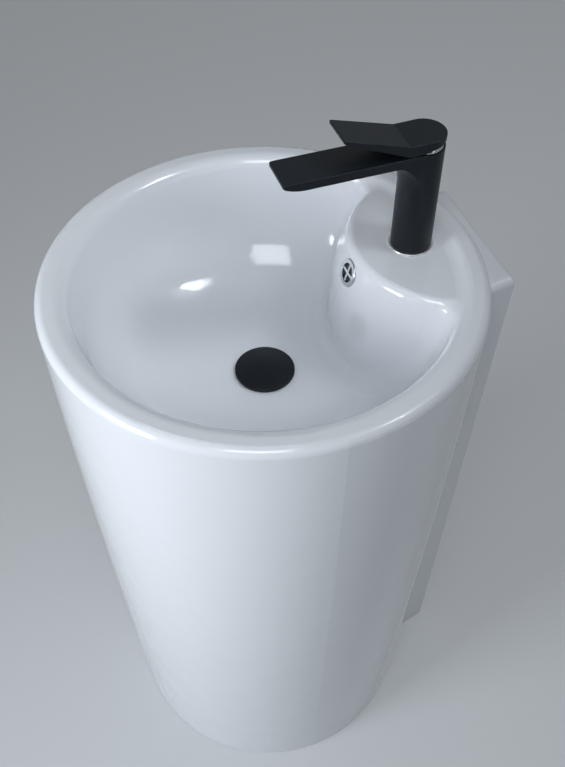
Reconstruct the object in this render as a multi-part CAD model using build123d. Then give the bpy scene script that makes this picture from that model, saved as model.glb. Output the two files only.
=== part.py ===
from build123d import *
from math import cos, radians, sin, sqrt, tan
import os

# Pedestal wash basin: a one-piece ceramic drum and bowl with a single-lever tap, a click waste
# and a bottle trap. Millimetres, +Z up. The origin is on the floor on the drum's axis, and the
# wall that the basin stands against is towards +Y.

# Clearances shared by all fits
RUNNING = 0.05           # radial, between pieces that turn or slide on each other
SEATED = 0.02            # radial, between pieces that stay put
FREE = 0.3               # between surfaces that pass without touching

# Ceramic drum and rim
RIM_HEIGHT = 835.0
RIM_RADIUS = 250.0
BASE_RADIUS = 211.5
SIDE_BULGE = 4.5         # how far the side swells beyond a straight cone
DRUM_WALL = 12.0
RIM_OUTER_ROUND = 10.0
RIM_FLAT_WIDTH = 10.0
RIM_INNER_ROUND = 16.0
RIM_SOLID = 40.0         # depth of solid ceramic under the rim
BASE_ROUND = 3.0

# Bowl
BOWL_DEPTH = 158.0
BOWL_WALL = 14.0
BOWL_DRAFT = 14.0        # degrees, wall against the vertical
BOWL_ROUND = 125.0
BOWL_FALL = 4.0          # degrees, floor towards the drain

# Tap ledge: a round bulge out of the back of the bowl
LEDGE_STEP = 5.0         # deck below the rim
LEDGE_SETBACK = 22.0     # ledge's centre inside the rim's edge
LEDGE_RADIUS = 118.4     # at the deck, before its edge is rounded
LEDGE_DRAFT = 17.0       # degrees, just under the deck
LEDGE_BREAK = 45.0       # below the deck, where the draft changes
LEDGE_FOOT_DRAFT = 3.0
LEDGE_BREAK_ROUND = 150.0
LEDGE_EDGE_ROUND = 10.0
LEDGE_SEAM_ROUND = 25.0  # where the ledge runs into the bowl and the rim

# Wall spine
SPINE_DEPTH = 18.7       # wall behind the rim
SPINE_STEP = 13.0        # spine's top below the rim
SPINE_BITE = 42.8        # how far the cheeks run into the drum's foot
SPINE_HALF_TOP = 89.0
SPINE_HALF_BOTTOM = 54.0
SPINE_FLARE_TOP = 33.0   # degrees, cheeks against the wall's normal
SPINE_FLARE_BOTTOM = 13.0
SPINE_ROUND = 9.0
WINDOW_LOW = 60.0
WINDOW_BELOW_RIM = 135.0
WINDOW_FRAME = 22.0
WINDOW_ROUND = 15.0

# Drain, overflow and its duct
DRAIN_PLAY = 1.55        # round the waste's tail
RECESS_PLAY = 1.0        # round the waste's flange
DRAIN_BOSS_WALL = 11.0
DRAIN_BOSS_DEPTH = 34.0
OVERFLOW_BELOW_DECK = 24.0
OVERFLOW_RADIUS = 12.5
OVERFLOW_SLEEVE = 1.2
OVERFLOW_LIP = 4.0
OVERFLOW_FLANGE = 2.5
OVERFLOW_SINK = 1.2
OVERFLOW_LENGTH = 12.0
OVERFLOW_BAR = 3.0
OVERFLOW_BAR_SINK = 0.6
DUCT_INSET = 0.5         # duct's side inside the overflow hole
DUCT_DEPTH = 10.0
DUCT_WALL = 7.0
DUCT_OVER_BOSS = 12.0    # duct's floor over the bottom of the drain boss

# Tap
TAP_SETBACK = 50.0       # tap's axis in front of the ledge's centre
TAP_WALL = 2.8           # metal outside the riser
TAP_HEIGHT = 132.5       # deck to the top of the body
BASE_RING_HEIGHT = 2.0
BASE_RING_LIP = 2.7      # beyond the tap's body
BASE_RING_ROUND = 1.2
BASE_SEAL_INSET = 0.8    # inside the tap's body
BASE_SEAL_WIDTH = 2.5
TAP_HOLE_MARGIN = 2.5    # hole inside the base seal
BASE_SEAL_HEIGHT = 1.5
SPOUT_REACH = 163.0
SPOUT_INSET = 0.3        # spout's side inside the tap's body
SPOUT_THICK = 10.0
SPOUT_TIP_THICK = 4.0
SPOUT_TIP_CURVE = 25.0
SPOUT_CORNER = 3.0
SPOUT_EDGE_ROUND = 0.8
SPOUT_FILLET = 7.0
SPOUT_ROOF = 2.5         # metal over the waterway
AERATOR_REACH = 124.0
AERATOR_RADIUS = 12.0
AERATOR_WALL = 1.5
AERATOR_SEAL = 0.5
AERATOR_SINK = 0.8
AERATOR_HOLE = 1.1
AERATOR_PITCH = 2.1
AERATOR_ROWS = 4
AERATOR_SEAL_WIDTH = 3.0
WATERWAY_HEIGHT = 2.5
WATERWAY_SIDE = 2.0      # beyond the aerator
RISER_WALL = 2.0         # riser in front of the cartridge nut
RISER_DEPTH = 4.0
RISER_WIDTH = 16.0
CROSSWAY_DROP = 13.0     # under the cartridge chamber
CROSSWAY_HEIGHT = 4.0

# Supply inlets and tap fixing
TAP_RECESS = 5.0         # hollow of the tap's foot, into which hoses and stud rise
INLET_RADIUS = 4.5
INLET_DEPTH = 15.0
INLET_WEB = 2.5          # from the centre plane to each inlet
INLET_Y = -3.0
STUD_RADIUS = 4.0
STUD_WEB = 5.5           # between the stud and the inlets
STUD_GRIP = 14.0
STUD_DROP = 28.0         # below the ledge's underside
CLAMP_LIP = 6.5          # beyond the tap hole
CLAMP_ROOM = 1.7         # round the supply hoses
CLAMP_BRIDGE = 3.3       # plate left between that opening and the stud
RUBBER_WASHER = 3.0
CLAMP_PLATE = 2.0
STUD_NUT_HEIGHT = 12.0
STUD_NUT_FLATS = 13.0

# Cartridge, measured from the lever's pivot
CLOSE = 0.15             # play between the cartridge's inner pieces
PIVOT_BELOW_TOP = 18.5
LIFT_ANGLE = 20.0
SPINDLE_ARM = 10.0       # pivot to the ball
SPINDLE_SIZE = 6.0
SHANK_DROP = 4.5         # square shank below the pivot
ARM_RADIUS = 1.8
BALL_RADIUS = 2.6
PIN_RADIUS = 1.5
PIN_SINK = 0.4
NECK_RADIUS = 7.5
NECK_TOP = 5.0
NECK_SLOT = 9.6
CARTRIDGE_RADIUS = 12.5
CARTRIDGE_WALL = 1.9
LID_DROP = 3.0           # lid's underside below the pivot
LID_THICK = 2.0
ROTOR_HEIGHT = 5.1
CARRIER_HEIGHT = 4.3
CARRIER_HALF = 7.0
MOVING_DISC = 2.6
FIXED_DISC = 3.55
CARTRIDGE_BASE = 5.8
PORT_RADIUS = 1.7
PORT_X = 4.6
PORT_Y = -2.6
PORT_SEAL = 0.85
PORT_SEAL_HEIGHT = 1.0
MIX_LENGTH = 12.4        # pocket in the moving disc that joins the ports
MIX_WIDTH = 6.8
MIX_DEPTH = 1.4
MIX_ROUND = 2.5
MIX_SHIFT = 1.2
NUT_LIP = 2.0            # beyond the cartridge
NUT_RING = 5.0
NUT_HEX = 3.0
NUT_SHOULDER = 2.5       # thread outside the hexagon's flats
NUT_PLAY = 1.7           # round the neck
DOME_INSET = 2.3         # inside the tap's body
DOME_SHELL = 1.3
DOME_MOUTH = 16.0
DOME_FOOT = 1.0

# Lever
LEVER_GAP = 0.8          # over the body at the front
LEVER_GAP_BACK = 9.0     # over the body at the back, room to tilt
LEVER_HEAD_HEIGHT = 14.5
LEVER_ROOF = 3.5         # metal over the spindle
LEVER_KINK = 2.7         # blade's start in front of the tap's body
LEVER_REACH = 99.0
LEVER_TIP_HEIGHT = 36.5
LEVER_TIP_THICK = 3.5
LEVER_TAPER = 2.3        # on each side, head to tip
LEVER_TIP_ROUND = 2.0
LEVER_EDGE_ROUND = 0.8
LEVER_BOSS_WALL = 4.0    # round the spindle
LEVER_BOSS_LOW = 14.0
LEVER_HOLLOW = 0.6       # over the dome
GRUB_RADIUS = 1.5
GRUB_LENGTH = 6.0
GRUB_HEX = 1.5
INDEX_RADIUS = 1.9
INDEX_DEPTH = 1.6
INDEX_SINK = 0.6

# Click waste
FLANGE_THICK = 3.0
FLANGE_LIP = 11.05       # beyond the tail
FLANGE_BEVEL = 2.5
TOP_SEAL = 2.0
TOP_SEAL_INSET = 1.0     # inside the flange
TAIL_RADIUS = 20.95
TAIL_WALL = 3.45
TAIL_LENGTH = 74.0
SLOT_WIDTH = 12.0
BOTTOM_SEAL = 5.0
BACK_NUT = 12.0
BACK_NUT_WASHER = 3.0
BACK_NUT_LIP = 8.05      # washer beyond the tail
BACK_NUT_WALL = 6.05     # tail to the flats
HUB_WALL = 2.5
HUB_HEIGHT = 10.0
HUB_DROP = 37.0          # hub's top below the flange's top
WEB = 3.0
CLICK_RADIUS = 6.1
CLICK_WALL = 1.5
CLICK_LENGTH = 33.0
CLICK_STAND = 15.0       # housing's top over the hub
CLICK_FLOOR = 2.0
CLICK_LIP = 1.5          # collar beyond the housing
CLICK_COLLAR = 2.0
PLUNGER_WALL = 1.4
SPRING_LENGTH = 26.0
SPRING_WIRE = 0.4
SPRING_TURNS = 5
CAP_OVERHANG = 4.5       # beyond the flange
CAP_LIFT = 8.0
CAP_EDGE = 3.5
CAP_CROWN = 5.5
CAP_GAP = 1.8            # cap's edge over the bowl when shut
CAP_GROOVE = 1.5
CAP_SOCKET = 1.0
CAP_SEAL_INSET = 3.0     # inside the flange
CAP_SEAL_WIDTH = 3.0

# Bottle trap
TRAP_WASHER = 3.0
TRAP_FLANGE = 7.0
TRAP_FLANGE_PLAY = 0.45  # inside the tail's thread
TRAP_FLANGE_LIP = 3.5    # beyond the neck
TRAP_NECK_WALL = 2.5
TRAP_NECK_LENGTH = 34.0
TRAP_NUT_WALL = 3.55     # tail to the flats
TRAP_NUT_LIP = 4.0
TRAP_NUT_GRIP = 11.0
TRAP_CHAMBER = 10.0      # water round the dip tube
TRAP_HEAD_WALL = 4.0
TRAP_HEAD_ROUND = 8.0
DIP_WALL = 1.5
DIP_LENGTH = 42.0        # below the head
CUP_COLLAR_WALL = 4.0
CUP_WALL = 3.0
CUP_COLLAR = 13.0
CUP_DEPTH = 69.0
CUP_ROUND = 9.0
CUP_SEAL = 3.0
CUP_SEAL_WIDTH = 3.0
OUTLET_UNDER_TOP = 1.0   # stub under the head's top
OUTLET_OVER_COLLAR = 3.0
OUTLET_RADIUS = 16.0
OUTLET_WALL = 1.3
OUTLET_INSERT = 20.0
OUTLET_STUB_WALL = 4.0
OUTLET_STUB_LENGTH = 28.0
OUTLET_NUT_WALL = 4.0    # stub to the flats
OUTLET_NUT_LENGTH = 22.0
OUTLET_NUT_LIP = 4.0
OUTLET_WASHER = 4.0
OUTLET_WASHER_FOOT = 3.5
OUTLET_WASHER_TIP = 1.6
OUTLET_WALL_GAP = 5.0
OUTLET_MARK = 50.0       # insertion mark, from the tube's end
OUTLET_MARK_WIDTH = 1.0
OUTLET_MARK_DEPTH = 0.4

# Radii and widths that follow from what they fit
CARTRIDGE_BORE = CARTRIDGE_RADIUS - CARTRIDGE_WALL
NUT_RADIUS = CARTRIDGE_RADIUS + NUT_LIP
NUT_FLATS = 2 * (NUT_RADIUS - NUT_SHOULDER)
NUT_BORE = NECK_RADIUS + NUT_PLAY
TAP_RADIUS = NUT_RADIUS + RISER_WALL + RISER_DEPTH + TAP_WALL
SPOUT_WIDTH = 2 * (TAP_RADIUS - SPOUT_INSET)
WATERWAY_WIDTH = 2 * (AERATOR_RADIUS + WATERWAY_SIDE)
BASE_RING_RADIUS = TAP_RADIUS + BASE_RING_LIP
BASE_SEAL_OUTER = TAP_RADIUS - BASE_SEAL_INSET
BASE_SEAL_INNER = BASE_SEAL_OUTER - BASE_SEAL_WIDTH
TAP_HOLE_RADIUS = BASE_SEAL_INNER - TAP_HOLE_MARGIN
CLAMP_RADIUS = TAP_HOLE_RADIUS + CLAMP_LIP
INLET_X = INLET_RADIUS + INLET_WEB
CLAMP_SLOT = 2 * (INLET_X + INLET_RADIUS + CLAMP_ROOM)
STUD_Y = INLET_Y + INLET_RADIUS + STUD_WEB + STUD_RADIUS
DOME_BASE_RADIUS = TAP_RADIUS - DOME_INSET
DOME_RADIUS = sqrt(DOME_BASE_RADIUS ** 2 + PIVOT_BELOW_TOP ** 2)
SPINDLE_LENGTH = PIVOT_BELOW_TOP + LEVER_HEAD_HEIGHT - LEVER_ROOF
LEVER_KINK_Y = TAP_RADIUS + LEVER_KINK
LEVER_TIP_HALF = TAP_RADIUS - LEVER_TAPER
LEVER_BOSS_RADIUS = SPINDLE_SIZE / 2 + LEVER_BOSS_WALL
FLANGE_RADIUS = TAIL_RADIUS + FLANGE_LIP
TOP_SEAL_RADIUS = FLANGE_RADIUS - TOP_SEAL_INSET
TAIL_BORE = TAIL_RADIUS - TAIL_WALL
BACK_NUT_RADIUS = TAIL_RADIUS + BACK_NUT_LIP
BACK_NUT_FLATS = 2 * (TAIL_RADIUS + BACK_NUT_WALL)
DRAIN_RADIUS = TAIL_RADIUS + DRAIN_PLAY
DRAIN_RECESS_RADIUS = FLANGE_RADIUS + RECESS_PLAY
DRAIN_BOSS_RADIUS = DRAIN_RECESS_RADIUS + DRAIN_BOSS_WALL
HUB_RADIUS = CLICK_RADIUS + HUB_WALL
CLICK_COLLAR_RADIUS = CLICK_RADIUS + CLICK_LIP
CLICK_BORE = CLICK_RADIUS - CLICK_WALL
PLUNGER_BORE = CLICK_BORE - PLUNGER_WALL
SPRING_RADIUS = PLUNGER_BORE - SPRING_WIRE - FREE
CAP_RADIUS = FLANGE_RADIUS + CAP_OVERHANG
CAP_SEAL_RADIUS = FLANGE_RADIUS - CAP_SEAL_INSET
OVERFLOW_FLANGE_RADIUS = OVERFLOW_RADIUS + OVERFLOW_LIP
DUCT_WIDTH = 2 * (OVERFLOW_RADIUS - DUCT_INSET)
TRAP_FLANGE_RADIUS = TAIL_RADIUS - TRAP_FLANGE_PLAY
TRAP_NECK_RADIUS = TRAP_FLANGE_RADIUS - TRAP_FLANGE_LIP
TRAP_NECK_BORE = TRAP_NECK_RADIUS - TRAP_NECK_WALL
TRAP_NUT_FLATS = 2 * (TAIL_RADIUS + TRAP_NUT_WALL)
DIP_RADIUS = TRAP_NECK_BORE + DIP_WALL
TRAP_HEAD_RADIUS = DIP_RADIUS + TRAP_CHAMBER + TRAP_HEAD_WALL
CUP_RADIUS = TRAP_HEAD_RADIUS + CUP_COLLAR_WALL
OUTLET_BORE = OUTLET_RADIUS - OUTLET_WALL
OUTLET_STUB_RADIUS = OUTLET_RADIUS + OUTLET_STUB_WALL
OUTLET_STUB_END = TRAP_HEAD_RADIUS + OUTLET_STUB_LENGTH
OUTLET_NUT_FLATS = 2 * (OUTLET_STUB_RADIUS + OUTLET_NUT_WALL)

# Heights and places that follow
WALL_Y = RIM_RADIUS + SPINE_DEPTH
LEDGE_CENTRE_Y = RIM_RADIUS - LEDGE_SETBACK
TAP_Y = LEDGE_CENTRE_Y - TAP_SETBACK
SPINE_TOP = RIM_HEIGHT - SPINE_STEP
WINDOW_HIGH = RIM_HEIGHT - WINDOW_BELOW_RIM
DECK_Z = RIM_HEIGHT - LEDGE_STEP
UNDER_DECK_Z = DECK_Z - BOWL_WALL
BOWL_BOTTOM = RIM_HEIGHT - BOWL_DEPTH
RECESS_Z = BOWL_BOTTOM - FLANGE_THICK - TOP_SEAL
BOSS_BOTTOM = RECESS_Z - DRAIN_BOSS_DEPTH
DUCT_LOW = BOSS_BOTTOM + DUCT_OVER_BOSS
TAP_BASE = DECK_Z + BASE_RING_HEIGHT
PORTS_Z = TAP_BASE + TAP_RECESS
TAP_TOP = DECK_Z + TAP_HEIGHT
SPOUT_LOW = TAP_TOP - SPOUT_THICK
WATERWAY_LOW = TAP_TOP - SPOUT_ROOF - WATERWAY_HEIGHT
AERATOR_HEIGHT = WATERWAY_LOW - SPOUT_LOW - AERATOR_SEAL
PIVOT_Z = TAP_TOP - PIVOT_BELOW_TOP
REST_TILT = LIFT_ANGLE / 2
LID_LOW = PIVOT_Z - LID_DROP
ROTOR_TOP = LID_LOW - FREE
ROTOR_LOW = ROTOR_TOP - ROTOR_HEIGHT
CARRIER_TOP = ROTOR_LOW - FREE
CARRIER_LOW = CARRIER_TOP - CARRIER_HEIGHT
DISC_LOW = CARRIER_LOW - MOVING_DISC
FIXED_TOP = DISC_LOW - RUNNING
FIXED_LOW = FIXED_TOP - FIXED_DISC
CHAMBER_FLOOR = FIXED_LOW - CARTRIDGE_BASE
NUT_LOW = LID_LOW + LID_THICK
NUT_TOP = NUT_LOW + NUT_RING + NUT_HEX
CARRIER_Y = SPINDLE_ARM * sin(radians(REST_TILT))
CARRIER_RADIUS = CARTRIDGE_BORE - CARRIER_Y - CLOSE
TAIL_END = BOWL_BOTTOM - FLANGE_THICK - TAIL_LENGTH
HUB_TOP = BOWL_BOTTOM - HUB_DROP
CLICK_TOP = HUB_TOP + CLICK_STAND
CLICK_LOW = CLICK_TOP - CLICK_LENGTH
SPRING_LOW = CLICK_LOW + CLICK_FLOOR
SPRING_TOP = SPRING_LOW + SPRING_LENGTH
PLUNGER_LOW = SPRING_LOW + CAP_LIFT
CAP_LOW = BOWL_BOTTOM + CAP_GAP
FLANGE_Z = TAIL_END - TRAP_WASHER
HEAD_TOP = FLANGE_Z - TRAP_FLANGE - TRAP_NECK_LENGTH
OUTLET_Z = HEAD_TOP - OUTLET_UNDER_TOP - OUTLET_STUB_RADIUS
HEAD_LOW = OUTLET_Z - OUTLET_STUB_RADIUS - OUTLET_OVER_COLLAR - CUP_COLLAR + CUP_SEAL
CUP_LEDGE_Z = HEAD_LOW - CUP_SEAL
OUTLET_END = WALL_Y - OUTLET_WALL_GAP

UP = (Align.CENTER, Align.CENTER, Align.MIN)
TAP_AXIS = Pos(0, TAP_Y, 0)
LEVER_LEAN = Pos(0, 0, PIVOT_Z) * Rot(REST_TILT, 0, 0)   # along the spindle, in the tap's own place
TO_BACK = Rot(-90, 0, 0)   # turns a piece made along +Z to run along +Y


def rod(radius, low, high):
    """A round bar on the Z axis between two heights."""
    return Pos(0, 0, low) * Cylinder(radius, high - low, align=UP)


def ring(outer, inner, low, high):
    """A plain ring on the Z axis between two heights."""
    return rod(outer, low, high) - rod(inner, low - 1, high + 1)


def block(x_half, y_low, y_high, z_low, z_high):
    """A box that is symmetrical about the YZ plane."""
    size = (2 * x_half, y_high - y_low, z_high - z_low)
    return Pos(0, (y_low + y_high) / 2, (z_low + z_high) / 2) * Box(*size)


def hexagon(flats, low, high):
    """A hexagonal bar on the Z axis, by its width across flats."""
    outline = RegularPolygon(flats / 2, 6, major_radius=False)
    return Pos(0, 0, low) * extrude(outline, high - low)


def turned(points):
    """A solid of revolution about Z from a closed outline of (radius, height) points."""
    return revolve(Plane.XZ * make_face(Polyline(*points, close=True)), Axis.Z)


def nearest(outline, point):
    """The corner of an outline that is nearest to a point."""
    return outline.vertices().sort_by_distance(Vertex(*point, 0))[0]


def soften(outline, corner, radius):
    """An outline with the corner nearest to a point rounded."""
    return fillet(nearest(outline, corner), radius)


# Ceramic body

def drum(inset, low, high):
    """The tapering, slightly swelling drum, or with inset its hollow of two plain cones."""
    top = (RIM_RADIUS - inset, RIM_HEIGHT)
    foot = (BASE_RADIUS - inset, 0)
    side = SagittaArc(foot, top, -SIDE_BULGE)
    if inset:
        side = Polyline(foot, side @ 0.5, top)
    outline = make_face(Curve() + [side, Polyline(top, (0, RIM_HEIGHT), (0, 0), foot)])
    if inset == 0:
        outline = soften(outline, top, RIM_OUTER_ROUND)
        outline = soften(outline, foot, BASE_ROUND)
    whole = revolve(Plane.XZ * outline, Axis.Z)
    return whole & block(2 * RIM_RADIUS, -2 * RIM_RADIUS, 2 * RIM_RADIUS, low, high)


def bowl(grow):
    """The bowl's inside, or with grow the plainer outside of its wall."""
    draft = radians(BOWL_DRAFT)
    fall = radians(BOWL_FALL)
    lip_r = RIM_RADIUS - RIM_OUTER_ROUND - RIM_FLAT_WIDTH
    wall_r = lip_r - RIM_INNER_ROUND * cos(draft) + grow * cos(draft)
    wall_z = RIM_HEIGHT - RIM_INNER_ROUND * (1 - sin(draft)) - grow * sin(draft)
    floor_r = DRAIN_RECESS_RADIUS + grow * sin(fall)
    floor_z = BOWL_BOTTOM - grow * cos(fall)
    # the wall and the floor, both straight, meet at the corner that is then rounded
    drop = wall_z - floor_z - (wall_r - floor_r) * tan(fall)
    run = drop / (1 / tan(draft) - tan(fall))
    corner = (wall_r - run, wall_z - run / tan(draft))
    if grow == 0:
        start = (wall_r, wall_z)
        lip = RadiusArc((lip_r, RIM_HEIGHT), start, -RIM_INNER_ROUND)
        top = [Line((0, RIM_HEIGHT), (lip_r, RIM_HEIGHT)), lip]
    else:
        start = (wall_r + (RIM_HEIGHT - wall_z) * tan(draft), RIM_HEIGHT)
        top = [Line((0, RIM_HEIGHT), start)]
    rest = Polyline(start, corner, (floor_r, floor_z), (0, floor_z), (0, RIM_HEIGHT))
    outline = make_face(Curve() + top + [rest])
    if grow == 0:
        outline = soften(outline, corner, BOWL_ROUND)
    else:
        turn = radians(90) - draft - fall
        bevel = (BOWL_ROUND + grow) * (tan(turn / 2) - tan(turn / 4))
        outline = chamfer(nearest(outline, corner), bevel)
    return revolve(Plane.XZ * outline, Axis.Z)


def ledge_radius(z):
    """The ledge's radius at a height: drafted under the deck, then nearly upright."""
    drop = DECK_Z - z
    upper = min(drop, LEDGE_BREAK) * tan(radians(LEDGE_DRAFT))
    return LEDGE_RADIUS + upper + max(drop - LEDGE_BREAK, 0) * tan(radians(LEDGE_FOOT_DRAFT))


def ledge(inset):
    """The tap ledge's bulge, or with inset the hollow behind its wall."""
    wall = inset / cos(radians(LEDGE_DRAFT))
    heights = (DECK_Z - inset, DECK_Z - LEDGE_BREAK, BOSS_BOTTOM)
    deck, middle, foot = [(ledge_radius(z) - wall, z) for z in heights]
    outline = make_face(Polyline((0, deck[1]), deck, middle, foot, (0, foot[1]), close=True))
    if inset == 0:
        outline = soften(outline, middle, LEDGE_BREAK_ROUND)
        outline = soften(outline, deck, LEDGE_EDGE_ROUND)
    return Pos(0, LEDGE_CENTRE_Y, 0) * revolve(Plane.XZ * outline, Axis.Z)


def spine_half(z):
    """Half the spine's width at the wall."""
    return SPINE_HALF_BOTTOM + (SPINE_HALF_TOP - SPINE_HALF_BOTTOM) * z / SPINE_TOP


def spine(inset):
    """The flat wall spine, whose cheeks flare out into the drum, or with inset its hollow."""
    wall = WALL_Y - inset
    past = wall + SPINE_ROUND
    root = BASE_RADIUS - SPINE_BITE
    sections = []
    for z, flare in ((0, radians(SPINE_FLARE_BOTTOM)), (SPINE_TOP, radians(SPINE_FLARE_TOP))):
        back = spine_half(z) + inset * tan(flare) - inset / cos(flare)
        wide = back + (wall - root) * tan(flare)
        back -= (past - wall) * tan(flare)
        outline = Polyline((-back, past), (-wide, root), (wide, root), (back, past), close=True)
        sections.append(Pos(0, 0, z) * make_face(outline))
    # the cheeks run past the wall and are cut off flat
    solid = loft(sections, ruled=True) & block(2 * RIM_RADIUS, root, wall, 0, SPINE_TOP)
    if inset:
        return solid
    middle = (wall + root) / 2
    soft = [e for e in solid.edges() if e.center().Y > middle - 1 and e.center().Z > SPINE_ROUND]
    return fillet(soft, SPINE_ROUND)


def window():
    """The opening in the spine through which the plumbing reaches the wall."""
    low = spine_half(WINDOW_LOW) - WINDOW_FRAME
    high = spine_half(WINDOW_HIGH) - WINDOW_FRAME
    outline = make_face(Polyline((-low, WINDOW_LOW), (low, WINDOW_LOW),
                                 (high, WINDOW_HIGH), (-high, WINDOW_HIGH), close=True))
    outline = fillet(outline.vertices(), WINDOW_ROUND)
    return extrude(Plane.XZ.offset(-WALL_Y - 1) * outline, 2 * DRUM_WALL)


def ledge_front(z):
    """Where the ledge's front face stands on the centre plane at a height."""
    return LEDGE_CENTRE_Y - ledge_radius(z)


def duct(grow):
    """The overflow duct behind the ledge's front and under the bowl, or with grow its outside."""
    behind = BOWL_WALL / cos(radians(LEDGE_DRAFT))
    top = UNDER_DECK_Z
    low = DUCT_LOW
    high = low + DUCT_DEPTH
    start = ledge_front(top) + behind
    turn = ledge_front(high) + behind
    mouth = DRAIN_RADIUS - OVERFLOW_SLEEVE
    points = [(start, top), (start + DUCT_DEPTH, top), (turn + DUCT_DEPTH, low),
              (mouth, low), (mouth, high), (turn, high)]
    outline = make_face(Polyline(*points, close=True))
    if grow:
        outline = offset(outline, grow)
    return extrude(Plane.YZ * outline, DUCT_WIDTH / 2 + grow, both=True)


def overflow_frame():
    """The overflow's place: on the ledge's front, +Z out of the ceramic."""
    z = DECK_Z - OVERFLOW_BELOW_DECK
    return Pos(0, ledge_front(z), z) * Rot(90 - LEDGE_DRAFT, 0, 0)


def inside():
    """The bowl less the tap ledge, softened where the two run into each other."""
    basin = bowl(0)
    bulge = ledge(0)
    room = basin - bulge
    return fillet(new_edges(basin, bulge, combined=room), LEDGE_SEAM_ROUND)


def cavity():
    """The room inside the drum and the spine, round the bowl and under the ledge."""
    top = RIM_HEIGHT - RIM_SOLID
    room = drum(DRUM_WALL, 0, top) + (spine(DRUM_WALL) & block(RIM_RADIUS, 0, WALL_Y, 0, top))
    room -= bowl(BOWL_WALL)
    return room + (drum(DRUM_WALL, 0, UNDER_DECK_Z) & ledge(BOWL_WALL))


def basin_body():
    body = drum(0, 0, RIM_HEIGHT) + spine(0) - cavity()
    body += rod(DRAIN_BOSS_RADIUS, BOSS_BOTTOM, RECESS_Z)
    body += duct(DUCT_WALL) & drum(DRUM_WALL, 0, DECK_Z)
    body -= inside()
    body -= rod(DRAIN_RECESS_RADIUS, RECESS_Z, BOWL_BOTTOM + 1)
    body -= rod(DRAIN_RADIUS, BOSS_BOTTOM - 1, RECESS_Z + 1)
    body -= duct(0)
    body -= TAP_AXIS * rod(TAP_HOLE_RADIUS, UNDER_DECK_Z - 1, DECK_Z + 1)
    body -= overflow_frame() * rod(OVERFLOW_FLANGE_RADIUS + FREE, -OVERFLOW_SINK, LEDGE_STEP)
    body -= overflow_frame() * rod(OVERFLOW_RADIUS, -BOWL_WALL - DUCT_DEPTH / 2, 0)
    return body - window()


def overflow_ring():
    face = -OVERFLOW_SINK
    front = face + OVERFLOW_FLANGE
    flange = rod(OVERFLOW_FLANGE_RADIUS, face, front)
    flange = fillet(flange.edges().group_by(Axis.Z)[-1], OVERFLOW_FLANGE / 2)
    sleeve = rod(OVERFLOW_RADIUS - SEATED, face - OVERFLOW_LENGTH, face)
    bore = OVERFLOW_RADIUS - SEATED - OVERFLOW_SLEEVE
    whole = flange + sleeve - rod(bore, face - OVERFLOW_LENGTH - 1, front + 1)
    for turn in (0, 90):
        half = OVERFLOW_BAR / 2
        bar = block(bore + OVERFLOW_SLEEVE / 2, -half, half, face, front - OVERFLOW_BAR_SINK)
        whole += Rot(0, 0, turn) * bar
    return overflow_frame() * whole


# Tap

def tap_body():
    tip_low = TAP_TOP - SPOUT_TIP_THICK
    flat_end = SPOUT_TIP_CURVE - SPOUT_REACH
    outline = Polyline((-SPOUT_REACH, tip_low), (-SPOUT_REACH, TAP_TOP), (0, TAP_TOP), (0, SPOUT_LOW),
                       (flat_end, SPOUT_LOW))
    curve = TangentArc((flat_end, SPOUT_LOW), (-SPOUT_REACH, tip_low), tangent=(-1, 0))
    spout = extrude(Plane.YZ * make_face(Curve() + [outline, curve]), SPOUT_WIDTH / 2, both=True)
    tip = [e for e in spout.edges().filter_by(Axis.Z) if e.center().Y < -SPOUT_REACH + 1]
    spout = fillet(tip, SPOUT_CORNER)
    spout = fillet(spout.faces().sort_by(Axis.Z)[-1].edges().filter_by(lambda e: e.center().Y < -1),
                   SPOUT_EDGE_ROUND)
    body = rod(TAP_RADIUS, TAP_BASE, TAP_TOP) + spout
    root = [e for e in body.edges() if e.geom_type == GeomType.CIRCLE
            and abs(e.center().Z - SPOUT_LOW) < FREE and abs(e.radius - TAP_RADIUS) < FREE]
    body = fillet(root, SPOUT_FILLET)
    # cartridge chamber and the thread of its nut
    body -= rod(CARTRIDGE_RADIUS + RUNNING, CHAMBER_FLOOR, TAP_TOP + 1)
    body -= rod(NUT_RADIUS + SEATED, NUT_LOW, TAP_TOP + 1)
    # waterway: down from the cartridge, forward, up the riser and along the spout
    riser = -NUT_RADIUS - RISER_WALL
    cross_low = CHAMBER_FLOOR - CROSSWAY_DROP
    cross_high = cross_low + CROSSWAY_HEIGHT
    way_top = WATERWAY_LOW + WATERWAY_HEIGHT
    body -= rod(PORT_RADIUS, cross_low, CHAMBER_FLOOR + 1)
    body -= block(PORT_RADIUS, riser - RISER_DEPTH / 2, 0, cross_low, cross_high)
    body -= block(RISER_WIDTH / 2, riser - RISER_DEPTH, riser, cross_low, way_top)
    body -= block(WATERWAY_WIDTH / 2, -AERATOR_REACH, riser, WATERWAY_LOW, way_top)
    body -= Pos(0, -AERATOR_REACH, 0) * rod(AERATOR_RADIUS + SEATED, SPOUT_LOW - 1, WATERWAY_LOW)
    # supply inlets and the fixing stud's thread
    inlet_top = PORTS_Z + INLET_DEPTH
    body -= rod(TAP_HOLE_RADIUS, TAP_BASE - 1, PORTS_Z)
    for side in (-1, 1):
        body -= Pos(side * INLET_X, INLET_Y, 0) * rod(INLET_RADIUS, PORTS_Z - 1, inlet_top)
        body -= Pos(side * PORT_X, PORT_Y, 0) * rod(PORT_RADIUS, inlet_top - 1, CHAMBER_FLOOR + 1)
    body -= Pos(0, STUD_Y, 0) * rod(STUD_RADIUS + SEATED, PORTS_Z - 1, PORTS_Z + STUD_GRIP)
    return TAP_AXIS * body


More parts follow.
